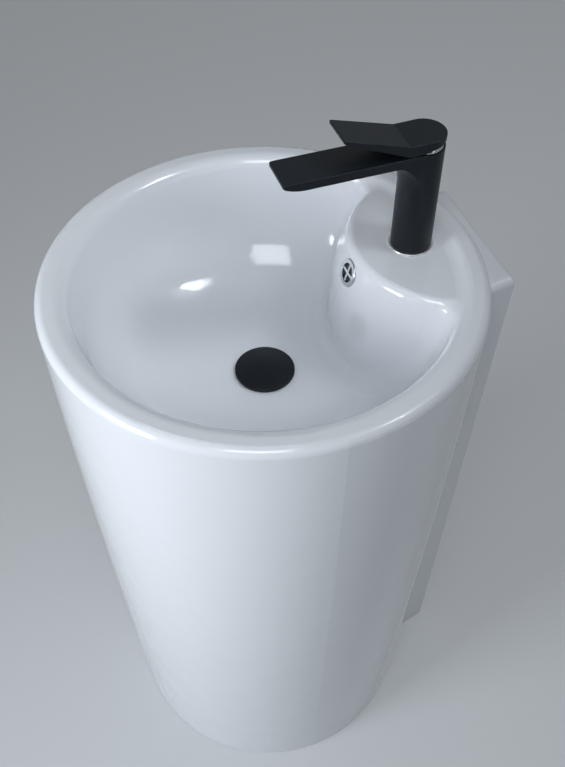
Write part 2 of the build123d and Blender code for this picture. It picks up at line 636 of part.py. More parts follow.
def tap_base_ring():
    whole = rod(BASE_RING_RADIUS, DECK_Z, TAP_BASE)
    whole = fillet(whole.edges().group_by(Axis.Z)[-1], BASE_RING_ROUND)
    whole -= rod(TAP_HOLE_RADIUS, DECK_Z - 1, TAP_BASE + 1)
    groove_top = DECK_Z + BASE_SEAL_HEIGHT
    groove = ring(BASE_SEAL_OUTER + SEATED, BASE_SEAL_INNER - SEATED, DECK_Z - 1, groove_top)
    return TAP_AXIS * (whole - groove)


def tap_base_seal():
    return TAP_AXIS * ring(BASE_SEAL_OUTER, BASE_SEAL_INNER, DECK_Z, DECK_Z + BASE_SEAL_HEIGHT)


def aerator_place():
    return Pos(0, TAP_Y - AERATOR_REACH, SPOUT_LOW)


def aerator_housing():
    return aerator_place() * ring(AERATOR_RADIUS, AERATOR_RADIUS - AERATOR_WALL, 0, AERATOR_HEIGHT)


def aerator_insert():
    disc = rod(AERATOR_RADIUS - AERATOR_WALL - SEATED, AERATOR_SINK, AERATOR_HEIGHT)
    holes = HexLocations(AERATOR_PITCH, AERATOR_ROWS, AERATOR_ROWS)
    return aerator_place() * (disc - [place * Cylinder(AERATOR_HOLE, 3 * AERATOR_HEIGHT) for place in holes])


def aerator_seal():
    inner = AERATOR_RADIUS - AERATOR_SEAL_WIDTH
    return aerator_place() * ring(AERATOR_RADIUS, inner, AERATOR_HEIGHT, AERATOR_HEIGHT + AERATOR_SEAL)


def tap_stud():
    return TAP_AXIS * Pos(0, STUD_Y, 0) * rod(STUD_RADIUS, UNDER_DECK_Z - STUD_DROP, PORTS_Z + STUD_GRIP)


def clamp(low, high):
    """A horseshoe that bears on the ledge's underside and leaves the supply hoses free."""
    plate = rod(CLAMP_RADIUS, low, high)
    slot_end = STUD_Y - STUD_RADIUS - CLAMP_BRIDGE
    plate -= block(CLAMP_SLOT / 2, -2 * CLAMP_RADIUS, slot_end, low - 1, high + 1)
    plate -= Pos(0, STUD_Y, 0) * rod(STUD_RADIUS + SEATED, low - 1, high + 1)
    return TAP_AXIS * plate


def tap_rubber_washer():
    return clamp(UNDER_DECK_Z - RUBBER_WASHER, UNDER_DECK_Z)


def tap_clamp_plate():
    return clamp(UNDER_DECK_Z - RUBBER_WASHER - CLAMP_PLATE, UNDER_DECK_Z - RUBBER_WASHER)


def tap_stud_nut():
    top = UNDER_DECK_Z - RUBBER_WASHER - CLAMP_PLATE
    nut = hexagon(STUD_NUT_FLATS, top - STUD_NUT_HEIGHT, top)
    nut -= rod(STUD_RADIUS + SEATED, top - STUD_NUT_HEIGHT - 1, top + 1)
    return TAP_AXIS * Pos(0, STUD_Y, 0) * nut


# Cartridge

PORTS = ((-PORT_X, PORT_Y), (PORT_X, PORT_Y), (0, 0))


def cartridge_base():
    base = rod(CARTRIDGE_RADIUS, CHAMBER_FLOOR, FIXED_LOW)
    seat_top = CHAMBER_FLOOR + PORT_SEAL_HEIGHT
    for x, y in PORTS:
        base -= Pos(x, y, 0) * rod(PORT_RADIUS, CHAMBER_FLOOR - 1, FIXED_LOW + 1)
        base -= Pos(x, y, 0) * rod(PORT_RADIUS + PORT_SEAL, CHAMBER_FLOOR - 1, seat_top)
    return TAP_AXIS * base


def cartridge_base_seals():
    outer = PORT_RADIUS + PORT_SEAL - SEATED
    rings = [Pos(x, y, 0) * ring(outer, PORT_RADIUS, CHAMBER_FLOOR, CHAMBER_FLOOR + PORT_SEAL_HEIGHT)
             for x, y in PORTS]
    return TAP_AXIS * Compound(children=rings)


def cartridge_fixed_disc():
    disc = rod(CARTRIDGE_BORE - CLOSE, FIXED_LOW, FIXED_TOP)
    for x, y in PORTS:
        disc -= Pos(x, y, 0) * rod(PORT_RADIUS, FIXED_LOW - 1, FIXED_TOP + 1)
    return TAP_AXIS * disc


def cartridge_moving_disc():
    disc = rod(CARRIER_RADIUS, DISC_LOW, CARRIER_LOW)
    outline = Pos(0, MIX_SHIFT) * RectangleRounded(MIX_LENGTH, MIX_WIDTH, MIX_ROUND)
    pocket = Pos(0, 0, DISC_LOW - 1) * extrude(outline, MIX_DEPTH + 1)
    return TAP_AXIS * Pos(0, CARRIER_Y, 0) * (disc - pocket)


def cartridge_carrier():
    plate = rod(CARRIER_RADIUS, CARRIER_LOW, CARRIER_TOP)
    plate &= block(CARRIER_HALF, -CARTRIDGE_BORE, CARTRIDGE_BORE, CARRIER_LOW, CARRIER_TOP)
    plate -= rod(BALL_RADIUS + CLOSE, CARRIER_LOW - 1, CARRIER_TOP + 1)
    return TAP_AXIS * Pos(0, CARRIER_Y, 0) * plate


def cartridge_rotor():
    flange = CARTRIDGE_BORE - CLOSE
    rotor = rod(flange, CARRIER_LOW + FREE, ROTOR_TOP)
    rotor -= block(CARRIER_HALF + CLOSE, -2 * flange, 2 * flange, CARRIER_LOW, ROTOR_LOW)
    rotor += rod(NECK_RADIUS, ROTOR_LOW, PIVOT_Z + NECK_TOP)
    slot = SPINDLE_SIZE / 2 + CLOSE
    rotor -= block(slot, -NECK_SLOT / 2, NECK_SLOT / 2, ROTOR_LOW - 1, PIVOT_Z + NECK_TOP + 1)
    rotor -= Pos(0, 0, PIVOT_Z) * Rot(0, 90, 0) * Cylinder(PIN_RADIUS + SEATED, 4 * NECK_RADIUS)
    return TAP_AXIS * rotor


def cartridge_pivot_pin():
    pin = Cylinder(PIN_RADIUS, 2 * (NECK_RADIUS - PIN_SINK))
    return TAP_AXIS * Pos(0, 0, PIVOT_Z) * Rot(0, 90, 0) * pin


def cartridge_spindle():
    half = SPINDLE_SIZE / 2
    bar = block(half, -half, half, -SHANK_DROP, SPINDLE_LENGTH)
    bar += rod(ARM_RADIUS, -SPINDLE_ARM, 0)
    bar += Pos(0, 0, -SPINDLE_ARM) * Sphere(BALL_RADIUS)
    bar -= Rot(0, 90, 0) * Cylinder(PIN_RADIUS + RUNNING, 2 * SPINDLE_SIZE)
    return TAP_AXIS * LEVER_LEAN * bar


def cartridge_housing():
    shell = ring(CARTRIDGE_RADIUS, CARTRIDGE_BORE, FIXED_LOW, LID_LOW)
    shell += ring(CARTRIDGE_RADIUS, NECK_RADIUS + RUNNING, LID_LOW, NUT_LOW)
    return TAP_AXIS * shell


def cartridge_nut():
    nut = rod(NUT_RADIUS, NUT_LOW, NUT_LOW + NUT_RING)
    nut += hexagon(NUT_FLATS, NUT_LOW + NUT_RING, NUT_TOP)
    return TAP_AXIS * (nut - rod(NUT_BORE, NUT_LOW - 1, NUT_TOP + 1))


def cartridge_dome():
    """The bright cover: part of a sphere about the lever's pivot, so the lever tilts over it."""
    whole = Sphere(DOME_RADIUS) - Sphere(DOME_RADIUS - DOME_SHELL)
    mouth = sqrt(DOME_RADIUS ** 2 - DOME_MOUTH ** 2)
    shell = Pos(0, 0, PIVOT_Z) * (whole & rod(2 * DOME_RADIUS, PIVOT_BELOW_TOP, mouth))
    bore = NUT_RADIUS - DOME_SHELL
    foot = ring(DOME_BASE_RADIUS - DOME_SHELL / 2, bore, TAP_TOP, TAP_TOP + DOME_FOOT)
    spigot = ring(NUT_RADIUS, bore, NUT_TOP + FREE, TAP_TOP + DOME_FOOT)
    return TAP_AXIS * (shell + foot + spigot)


# Lever

def tap_lever():
    top = TAP_TOP + LEVER_HEAD_HEIGHT
    tip_top = TAP_TOP + LEVER_TIP_HEIGHT
    points = [(TAP_RADIUS, TAP_TOP + LEVER_GAP_BACK), (TAP_RADIUS, top), (-LEVER_KINK_Y, top),
              (-LEVER_REACH, tip_top), (-LEVER_REACH, tip_top - LEVER_TIP_THICK),
              (-TAP_RADIUS, TAP_TOP + LEVER_GAP)]
    side = extrude(Plane.YZ * make_face(Polyline(*points, close=True)), 2 * TAP_RADIUS, both=True)
    blade = make_face(Polyline((-TAP_RADIUS, 0), (-LEVER_TIP_HALF, -LEVER_REACH),
                               (LEVER_TIP_HALF, -LEVER_REACH), (TAP_RADIUS, 0), close=True))
    plan = Circle(TAP_RADIUS) + blade
    lever = side & Pos(0, 0, TAP_TOP) * extrude(plan, LEVER_TIP_HEIGHT + 1)
    tip = [e for e in lever.edges()
           if e.center().Y < -LEVER_REACH + 1 and abs(e.center().X) > LEVER_TIP_HALF / 2]
    lever = fillet(tip, LEVER_TIP_ROUND)
    upper = [f for f in lever.faces() if f.normal_at().Z > 0.5]
    outer = [e for f in upper for e in f.edges() if abs(e.center().Y + LEVER_KINK_Y) > FREE]
    lever = fillet(outer, LEVER_EDGE_ROUND)
    hollow_r = DOME_RADIUS + LEVER_HOLLOW
    lever -= Pos(0, 0, PIVOT_Z) * Sphere(hollow_r)
    half = SPINDLE_SIZE / 2 + SEATED
    lever += LEVER_LEAN * rod(LEVER_BOSS_RADIUS, LEVER_BOSS_LOW, hollow_r + 1)
    lever -= LEVER_LEAN * block(half, -half, half, LEVER_BOSS_LOW - 1, SPINDLE_LENGTH + FREE)
    lever -= grub_frame() * rod(GRUB_RADIUS + SEATED, 0, 2 * TAP_RADIUS)
    lever -= grub_frame() * rod(INDEX_RADIUS + SEATED, index_start(), 2 * TAP_RADIUS)
    return TAP_AXIS * lever


def grub_height():
    """The grub screw's distance from the pivot, so that its bore leaves the middle of the head's back."""
    tilt = radians(REST_TILT)
    leaves_at = PIVOT_BELOW_TOP + (LEVER_GAP_BACK + LEVER_HEAD_HEIGHT) / 2
    return leaves_at * cos(tilt) - TAP_RADIUS * sin(tilt)


def grub_frame():
    """The grub screw's place, +Z out of the back of the lever's head, from the spindle's face."""
    return LEVER_LEAN * Pos(0, SPINDLE_SIZE / 2, grub_height()) * TO_BACK


def index_start():
    """How far from the spindle's face the index cap's pocket begins."""
    tilt = radians(REST_TILT)
    to_back = (TAP_RADIUS + grub_height() * sin(tilt)) / cos(tilt)
    return to_back - SPINDLE_SIZE / 2 - INDEX_DEPTH - INDEX_SINK


def lever_grub_screw():
    screw = rod(GRUB_RADIUS, SEATED, GRUB_LENGTH)
    screw -= hexagon(GRUB_HEX, GRUB_LENGTH - GRUB_HEX, GRUB_LENGTH + 1)
    return TAP_AXIS * grub_frame() * screw


def lever_index_cap():
    plug = rod(INDEX_RADIUS, index_start(), index_start() + INDEX_DEPTH)
    return TAP_AXIS * grub_frame() * plug


# Click waste

def waste_body():
    flange_low = BOWL_BOTTOM - FLANGE_THICK
    body = rod(FLANGE_RADIUS, flange_low, BOWL_BOTTOM) + rod(TAIL_RADIUS, TAIL_END, flange_low)
    body -= rod(TAIL_BORE, TAIL_END - 1, BOWL_BOTTOM + 1)
    mouth = [e for e in body.edges() if e.center().Z > BOWL_BOTTOM - FREE and e.radius < FLANGE_RADIUS - 1]
    body = chamfer(mouth, FLANGE_BEVEL)
    for turn in range(4):
        slot = block(SLOT_WIDTH / 2, TAIL_BORE - WEB, TAIL_RADIUS + WEB, DUCT_LOW, DUCT_LOW + DUCT_DEPTH)
        body -= Rot(0, 0, 90 * turn) * slot
    hub_low = HUB_TOP - HUB_HEIGHT
    body += rod(HUB_RADIUS, hub_low, HUB_TOP)
    for turn in range(3):
        web = block(WEB / 2, 0, (TAIL_BORE + TAIL_RADIUS) / 2, hub_low, HUB_TOP)
        body += Rot(0, 0, 120 * turn) * web
    return body - rod(CLICK_RADIUS + SEATED, hub_low - 1, HUB_TOP + 1)


def waste_top_seal():
    return ring(TOP_SEAL_RADIUS, TAIL_RADIUS + SEATED, RECESS_Z, RECESS_Z + TOP_SEAL)


def waste_bottom_seal():
    return ring(BACK_NUT_RADIUS, TAIL_RADIUS + SEATED, BOSS_BOTTOM - BOTTOM_SEAL, BOSS_BOTTOM)


def waste_back_nut():
    top = BOSS_BOTTOM - BOTTOM_SEAL
    washer_low = top - BACK_NUT_WASHER
    nut = hexagon(BACK_NUT_FLATS, top - BACK_NUT, washer_low) + rod(BACK_NUT_RADIUS, washer_low, top)
    return nut - rod(TAIL_RADIUS + SEATED, top - BACK_NUT - 1, top + 1)


def click_housing():
    tube = rod(CLICK_RADIUS, CLICK_LOW, CLICK_TOP) + rod(CLICK_COLLAR_RADIUS, HUB_TOP, HUB_TOP + CLICK_COLLAR)
    return tube - rod(CLICK_BORE, SPRING_LOW, CLICK_TOP + 1)


def click_plunger():
    stem = rod(CLICK_BORE - RUNNING, PLUNGER_LOW, CAP_LOW + CAP_SOCKET)
    return stem - rod(PLUNGER_BORE, PLUNGER_LOW - 1, SPRING_TOP)


def click_spring():
    """An open coil of round wire, standing on the housing's floor inside the plunger."""
    end = SPRING_WIRE + RUNNING
    height = SPRING_LENGTH - 2 * end
    path = Pos(0, 0, SPRING_LOW + end) * Helix(height / SPRING_TURNS, height, SPRING_RADIUS)
    section = Plane(origin=path @ 0, z_dir=path % 0) * Circle(SPRING_WIRE)
    return sweep(section, path=path, is_frenet=True)


def waste_cap():
    edge_top = CAP_LOW + CAP_EDGE
    crown = edge_top + CAP_CROWN
    dome_r = (CAP_RADIUS ** 2 + CAP_CROWN ** 2) / (2 * CAP_CROWN)
    cap = rod(CAP_RADIUS, CAP_LOW, crown) & Pos(0, 0, crown - dome_r) * Rot(90, 0, 0) * Sphere(dome_r)
    rim = [e for e in cap.edges()
           if e.geom_type == GeomType.CIRCLE and abs(e.center().Z - edge_top) < RUNNING]
    cap = fillet(rim, CAP_EDGE / 2)
    groove = CAP_SEAL_RADIUS - CAP_SEAL_WIDTH
    cap -= ring(CAP_SEAL_RADIUS + SEATED, groove - SEATED, CAP_LOW - 1, CAP_LOW + CAP_GROOVE)
    return cap - rod(CLICK_BORE - RUNNING + SEATED, CAP_LOW - 1, CAP_LOW + CAP_SOCKET)


def waste_cap_seal():
    inner = CAP_SEAL_RADIUS - CAP_SEAL_WIDTH
    return ring(CAP_SEAL_RADIUS, inner, BOWL_BOTTOM + FREE, CAP_LOW + CAP_GROOVE)


# Bottle trap

def trap_inlet_nut():
    lip_top = FLANGE_Z - TRAP_FLANGE
    low = lip_top - TRAP_NUT_LIP
    high = TAIL_END + TRAP_NUT_GRIP
    nut = hexagon(TRAP_NUT_FLATS, low, high)
    nut -= rod(TAIL_RADIUS + SEATED, lip_top, high + 1)
    return nut - rod(TRAP_NECK_RADIUS + FREE, low - 1, lip_top + 1)


def trap_inlet_washer():
    return ring(TRAP_FLANGE_RADIUS, TRAP_NECK_BORE, FLANGE_Z, TAIL_END)


def trap_inlet_tube():
    """A flanged tube whose neck stands on the head and whose end dips into the cup's water."""
    dip_end = HEAD_LOW - DIP_LENGTH
    tube = rod(TRAP_FLANGE_RADIUS, FLANGE_Z - TRAP_FLANGE, FLANGE_Z)
    tube += rod(TRAP_NECK_RADIUS, HEAD_TOP, FLANGE_Z)
    tube += rod(DIP_RADIUS, dip_end, FLANGE_Z)
    return tube - rod(TRAP_NECK_BORE, dip_end - 1, FLANGE_Z + 1)


def trap_head():
    to_outlet = Pos(0, 0, OUTLET_Z) * TO_BACK
    head = rod(TRAP_HEAD_RADIUS, HEAD_LOW, HEAD_TOP)
    head = fillet(head.edges().group_by(Axis.Z)[-1], TRAP_HEAD_ROUND)
    head += to_outlet * rod(OUTLET_STUB_RADIUS, 0, OUTLET_STUB_END)
    head -= rod(TRAP_HEAD_RADIUS - TRAP_HEAD_WALL, HEAD_LOW - 1, HEAD_TOP - TRAP_HEAD_WALL)
    head -= to_outlet * rod(OUTLET_RADIUS + FREE, DIP_RADIUS, OUTLET_STUB_END + 1)
    return head - rod(DIP_RADIUS + SEATED, HEAD_LOW - 1, HEAD_TOP + 1)


def trap_cup_seal():
    return ring(TRAP_HEAD_RADIUS, TRAP_HEAD_RADIUS - CUP_SEAL_WIDTH, CUP_LEDGE_Z, HEAD_LOW)


def trap_cup():
    collar_top = CUP_LEDGE_Z + CUP_COLLAR
    inner = TRAP_HEAD_RADIUS - TRAP_HEAD_WALL
    bottom = CUP_LEDGE_Z - CUP_DEPTH
    cup = rod(CUP_RADIUS, CUP_LEDGE_Z - CUP_WALL, collar_top) + rod(inner + CUP_WALL, bottom, CUP_LEDGE_Z)
    cup = fillet(cup.edges().group_by(Axis.Z)[0], CUP_ROUND)
    cup -= rod(TRAP_HEAD_RADIUS + SEATED, CUP_LEDGE_Z, collar_top + 1)
    well = rod(inner, bottom + CUP_WALL, CUP_LEDGE_Z + 1)
    return cup - fillet(well.edges().group_by(Axis.Z)[0], CUP_ROUND - CUP_WALL)


def trap_outlet_washer():
    near = OUTLET_STUB_END
    far = near + OUTLET_WASHER
    inner = OUTLET_RADIUS + SEATED
    cone = turned([(inner, near), (OUTLET_RADIUS + OUTLET_WASHER_FOOT, near),
                   (OUTLET_RADIUS + OUTLET_WASHER_TIP, far), (inner, far)])
    return Pos(0, 0, OUTLET_Z) * TO_BACK * cone


def trap_outlet_nut():
    lip = OUTLET_STUB_END + OUTLET_WASHER
    far = lip + OUTLET_NUT_LIP
    near = far - OUTLET_NUT_LENGTH
    nut = hexagon(OUTLET_NUT_FLATS, near, far)
    nut -= rod(OUTLET_STUB_RADIUS + SEATED, near - 1, lip)
    return Pos(0, 0, OUTLET_Z) * TO_BACK * (nut - rod(OUTLET_RADIUS + FREE, lip - 1, far + 1))


def trap_outlet_tube():
    tube = ring(OUTLET_RADIUS, OUTLET_BORE, OUTLET_STUB_END - OUTLET_INSERT, OUTLET_END)
    mark = OUTLET_END - OUTLET_MARK
    tube -= ring(OUTLET_RADIUS + 1, OUTLET_RADIUS - OUTLET_MARK_DEPTH, mark - OUTLET_MARK_WIDTH, mark)
    return Pos(0, 0, OUTLET_Z) * TO_BACK * tube


PIECES = (
    basin_body, overflow_ring,
    tap_body, tap_base_ring, tap_base_seal, aerator_housing, aerator_insert, aerator_seal,
    tap_stud, tap_rubber_washer, tap_clamp_plate, tap_stud_nut,
    cartridge_base, cartridge_base_seals, cartridge_fixed_disc, cartridge_moving_disc, cartridge_carrier,
    cartridge_rotor, cartridge_pivot_pin, cartridge_spindle, cartridge_housing, cartridge_nut, cartridge_dome,
    tap_lever, lever_grub_screw, lever_index_cap,
    waste_body, waste_top_seal, waste_bottom_seal, waste_back_nut,
    click_housing, click_plunger, click_spring, waste_cap, waste_cap_seal,
    trap_inlet_nut, trap_inlet_washer, trap_inlet_tube, trap_head, trap_cup_seal, trap_cup,
    trap_outlet_washer, trap_outlet_nut, trap_outlet_tube,
)

os.makedirs("parts", exist_ok=True)
for piece in PIECES:
    export_step(piece(), f"parts/{piece.__name__}.step")
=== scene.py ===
import bmesh
import bpy
from math import copysign, hypot, radians, sqrt, tan
from mathutils import Matrix, Quaternion, Vector


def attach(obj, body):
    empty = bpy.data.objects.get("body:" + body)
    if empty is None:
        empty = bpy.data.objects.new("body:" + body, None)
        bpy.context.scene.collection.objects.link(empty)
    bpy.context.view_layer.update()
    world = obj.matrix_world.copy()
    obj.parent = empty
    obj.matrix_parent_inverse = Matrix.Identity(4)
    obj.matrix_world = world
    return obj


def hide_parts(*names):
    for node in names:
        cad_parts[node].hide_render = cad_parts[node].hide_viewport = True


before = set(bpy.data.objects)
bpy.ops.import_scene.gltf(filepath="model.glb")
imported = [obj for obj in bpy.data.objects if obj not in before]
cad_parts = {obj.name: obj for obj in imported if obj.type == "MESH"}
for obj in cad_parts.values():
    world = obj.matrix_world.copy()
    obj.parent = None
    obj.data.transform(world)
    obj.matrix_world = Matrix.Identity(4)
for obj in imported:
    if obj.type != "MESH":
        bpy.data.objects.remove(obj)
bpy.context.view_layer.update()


# Basin: drum, bowl, tap ledge and wall spine are one slip-cast piece of vitreous china,
# sprayed with a clear white glaze and fired, so the whole skin is glassy with a faint ripple.
# It stands on its own foot ring against the wall.

COLOUR, NUMBER = "NodeSocketColor", "NodeSocketFloat"


def new_group(name, inputs, outputs):
    """An empty node group with its input and output nodes. Sockets are pairs of name and kind."""
    group = bpy.data.node_groups.new(name, "ShaderNodeTree")
    for direction, sockets in (("INPUT", inputs), ("OUTPUT", outputs)):
        for socket, kind in sockets:
            group.interface.new_socket(socket, in_out=direction, socket_type=kind)
    return group, group.nodes.new("NodeGroupInput"), group.nodes.new("NodeGroupOutput")


def drift_group():
    """Node group: a colour and a roughness that wander slowly over the surface."""
    group, given, result = new_group(
        "slow_drift",
        (("Colour One", COLOUR), ("Colour Two", COLOUR), ("Scale", NUMBER),
         ("Least Roughness", NUMBER), ("Most Roughness", NUMBER)),
        (("Colour", COLOUR), ("Roughness", NUMBER)))
    nodes, links = group.nodes, group.links
    place = nodes.new("ShaderNodeTexCoord")
    patches = nodes.new("ShaderNodeTexNoise")
    patches.inputs["Detail"].default_value = 3.0
    colour = nodes.new("ShaderNodeMix")
    colour.data_type = "RGBA"
    rough = nodes.new("ShaderNodeMapRange")
    links.new(place.outputs["Object"], patches.inputs["Vector"])
    links.new(given.outputs["Scale"], patches.inputs["Scale"])
    links.new(patches.outputs["Fac"], colour.inputs["Factor"])
    links.new(given.outputs["Colour One"], colour.inputs["A"])
    links.new(given.outputs["Colour Two"], colour.inputs["B"])
    links.new(colour.outputs["Result"], result.inputs["Colour"])
    links.new(patches.outputs["Fac"], rough.inputs["Value"])
    links.new(given.outputs["Least Roughness"], rough.inputs["To Min"])
    links.new(given.outputs["Most Roughness"], rough.inputs["To Max"])
    links.new(rough.outputs["Result"], result.inputs["Roughness"])
    return group


def grain_group():
    """Node group: a height that carries a coarse ripple and a fine grain."""
    group, given, result = new_group(
        "ripple_and_grain",
        (("Ripple Scale", NUMBER), ("Grain Scale", NUMBER), ("Grain Share", NUMBER)),
        (("Height", NUMBER),))
    nodes, links = group.nodes, group.links
    place = nodes.new("ShaderNodeTexCoord")
    ripple = nodes.new("ShaderNodeTexNoise")
    ripple.inputs["Detail"].default_value = 1.0
    grain = nodes.new("ShaderNodeTexNoise")
    grain.inputs["Detail"].default_value = 2.0
    share = nodes.new("ShaderNodeMix")
    links.new(place.outputs["Object"], ripple.inputs["Vector"])
    links.new(place.outputs["Object"], grain.inputs["Vector"])
    links.new(given.outputs["Ripple Scale"], ripple.inputs["Scale"])
    links.new(given.outputs["Grain Scale"], grain.inputs["Scale"])
    links.new(given.outputs["Grain Share"], share.inputs["Factor"])
    links.new(ripple.outputs["Fac"], share.inputs["A"])
    links.new(grain.outputs["Fac"], share.inputs["B"])
    links.new(share.outputs["Result"], result.inputs["Height"])
    return group


slow_drift = drift_group()
ripple_and_grain = grain_group()


def finish(name, colours, drift, roughness, ripple, grain, share, relief, plain=None):
    """A material whose colour and gloss drift slowly and whose skin has a ripple and a grain.

    drift, ripple and grain are scales, share is the grain's part of the height, and relief
    is the whole height in metres. plain gives the shader's sockets that are the same all over.
    """
    made = bpy.data.materials.new(name)
    made.use_nodes = True
    nodes, links = made.node_tree.nodes, made.node_tree.links
    shader = nodes["Principled BSDF"]
    for socket, value in (plain or {}).items():
        shader.inputs[socket].default_value = value
    patches = nodes.new("ShaderNodeGroup")
    patches.node_tree = slow_drift
    patches.inputs["Colour One"].default_value = (*colours[0], 1.0)
    patches.inputs["Colour Two"].default_value = (*colours[1], 1.0)
    patches.inputs["Scale"].default_value = drift
    patches.inputs["Least Roughness"].default_value = roughness[0]
    patches.inputs["Most Roughness"].default_value = roughness[1]
    height = nodes.new("ShaderNodeGroup")
    height.node_tree = ripple_and_grain
    height.inputs["Ripple Scale"].default_value = ripple
    height.inputs["Grain Scale"].default_value = grain
    height.inputs["Grain Share"].default_value = share
    bump = nodes.new("ShaderNodeBump")
    bump.inputs["Distance"].default_value = relief
    links.new(patches.outputs["Colour"], shader.inputs["Base Color"])
    links.new(patches.outputs["Roughness"], shader.inputs["Roughness"])
    links.new(height.outputs["Height"], bump.inputs["Height"])
    links.new(bump.outputs["Normal"], shader.inputs["Normal"])
    return made


def dress(material, *names):
    """Gives CAD nodes a material."""
    for name in names:
        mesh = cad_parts[name].data
        mesh.materials.clear()
        mesh.materials.append(material)


glaze = finish(
    "glazed_ceramic", colours=((0.77, 0.80, 0.85), (0.80, 0.825, 0.87)), drift=2.5,
    roughness=(0.07, 0.12), ripple=22.0, grain=260.0, share=0.12, relief=0.0006,
    plain={"Coat Weight": 0.5, "Coat Roughness": 0.03})
dress(glaze, "basin_body")

# The spine's cheeks stand nearly square to the wall at the top, so a copy of the casting
# has them eased in along the drum's side. The drum, rim and wall face keep their shapes.
WALL_Y = 0.2687
DRUM_FOOT, DRUM_TOP = 0.2115, 0.2500      # radii
DRUM_HEIGHT = 0.835
DRUM_SWELL = 0.0045                       # how far the drum's side bulges at half height
CHEEK_TOP = 0.822
CHEEK_HALF_LOW, CHEEK_HALF_TOP = 0.054, 0.089
CHEEK_FLARE_LOW = tan(radians(13.0))
CHEEK_FLARE_CAST = tan(radians(33.0))
CHEEK_FLARE_EASED = tan(radians(9.0))
EASE_FROM = 0.12         # what lies in front of this stays
EASE_REACH = 0.200       # so does the drum beyond this distance from the middle plane
EASE_DEPTH = 0.015       # and what lies deeper than this under its skin
SKIN_SLACK = 0.0003      # how far under the drum's skin a cheek's facets may dip
CHEEK_SLACK = 0.0005     # and how far they may stand out of the cheek
NORMAL_STEP = 0.00002    # the step over which a normal's turn is measured
NORMAL_INSET = 0.05      # how far from a corner towards its face's middle that is done
WELD = 1e-6              # points nearer than this are one
CARRIED = "carried_normal"


def drum_radius(z):
    """The drum's outer radius at a height."""
    share = z / DRUM_HEIGHT
    cone = DRUM_FOOT + (DRUM_TOP - DRUM_FOOT) * share
    return cone + 4.0 * DRUM_SWELL * share * (1.0 - share)


def cheek_line(z, flare_top):
    """A cheek's half width at the wall, and how fast it widens away from the wall."""
    share = min(max(z / CHEEK_TOP, 0.0), 1.0)
    half = CHEEK_HALF_LOW + (CHEEK_HALF_TOP - CHEEK_HALF_LOW) * share
    return half, CHEEK_FLARE_LOW + (flare_top - CHEEK_FLARE_LOW) * share


def seam_half(z, flare_top):
    """How far from the middle plane a cheek runs into the drum."""
    half, flare = cheek_line(z, flare_top)
    radius = drum_radius(min(z, CHEEK_TOP))
    base = half + flare * WALL_Y
    square = 1.0 + flare * flare
    y = (base * flare + sqrt(square * radius * radius - base * base)) / square
    return base - flare * y


def eased(point):
    """Where a point of the casting goes when the cheeks are eased in."""
    x, y, z = point
    if y < EASE_FROM:
        return Vector(point)
    radius = drum_radius(z)
    cast, wanted = seam_half(z, CHEEK_FLARE_CAST), seam_half(z, CHEEK_FLARE_EASED)
    shrink = wanted / cast
    away = abs(x)
    reach = hypot(x, y)
    half, flare = cheek_line(z, CHEEK_FLARE_CAST)
    if reach > radius - SKIN_SLACK and away <= half + flare * (WALL_Y - y) + CHEEK_SLACK:
        # on the spine: drawn in, less and less towards the wall
        skin_y = sqrt(radius * radius - x * x)
        share = min(max((y - skin_y) / (WALL_Y - skin_y), 0.0), 1.0)
        moved = x * (1.0 + (shrink - 1.0) * (1.0 - share))
        skin_y = sqrt(radius * radius - moved * moved)
        return Vector((moved, skin_y + share * (WALL_Y - skin_y), z))
    if away >= EASE_REACH:
        return Vector(point)
    # on the drum or under its skin: turned round the axis, less and less with depth
    if away <= cast:
        moved = away * shrink
    else:
        moved = wanted + (away - cast) * (EASE_REACH - wanted) / (EASE_REACH - cast)
    depth = min(max((radius - reach) / EASE_DEPTH, 0.0), 1.0)
    moved = away + (moved - away) * (1.0 - depth)
    return Vector((copysign(moved, x), sqrt(reach * reach - moved * moved), z))


def eased_normal(point, normal):
    """A surface normal carried along with the easing."""
    changes = []
    for axis in Matrix.Identity(3):
        step = NORMAL_STEP * axis
        changes.append((eased(point + step) - eased(point - step)) / (2.0 * NORMAL_STEP))
    return (Matrix(changes).inverted_safe() @ normal).normalized()


skin_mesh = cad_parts["basin_body"].data.copy()
skin_mesh.name = "basin_skin"
cast_normals = skin_mesh.attributes.new(CARRIED, "FLOAT_VECTOR", "CORNER")
for corner, cast_normal in zip(cast_normals.data, skin_mesh.corner_normals):
    corner.vector = cast_normal.vector

skin = bmesh.new()
skin.from_mesh(skin_mesh)
bmesh.ops.remove_doubles(skin, verts=skin.verts, dist=WELD)
skin_normal = skin.loops.layers.float_vector[CARRIED]
going = {vertex: eased(vertex.co) for vertex in skin.verts}
going = {vertex: place for vertex, place in going.items() if (place - vertex.co).length > WELD}
for face in skin.faces:
    middle = face.calc_center_median()
    for corner in face.loops:
        if corner.vert in going:
            inward = corner.vert.co.lerp(middle, NORMAL_INSET)
            corner[skin_normal] = eased_normal(inward, corner[skin_normal])
for vertex, place in going.items():
    vertex.co = place
skin.to_mesh(skin_mesh)
skin.free()

eased_normals = [corner.vector[:] for corner in skin_mesh.attributes[CARRIED].data]
skin_mesh.normals_split_custom_set(eased_normals)
skin_mesh.attributes.remove(skin_mesh.attributes[CARRIED])
basin_skin = bpy.data.objects.new("basin_skin", skin_mesh)
bpy.context.scene.collection.objects.link(basin_skin)
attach(basin_skin, "basin")
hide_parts("basin_body")


# Overflow ring: a die-cast insert with a cross, chrome plated and polished, pushed into
# the overflow hole in the front of the ledge.

chrome = finish(
    "polished_chrome", colours=((0.62, 0.63, 0.65), (0.68, 0.69, 0.71)), drift=60.0,
    roughness=(0.05, 0.11), ripple=120.0, grain=900.0, share=0.3, relief=0.00002,
    plain={"Metallic": 1.0})
dress(chrome, "overflow_ring")


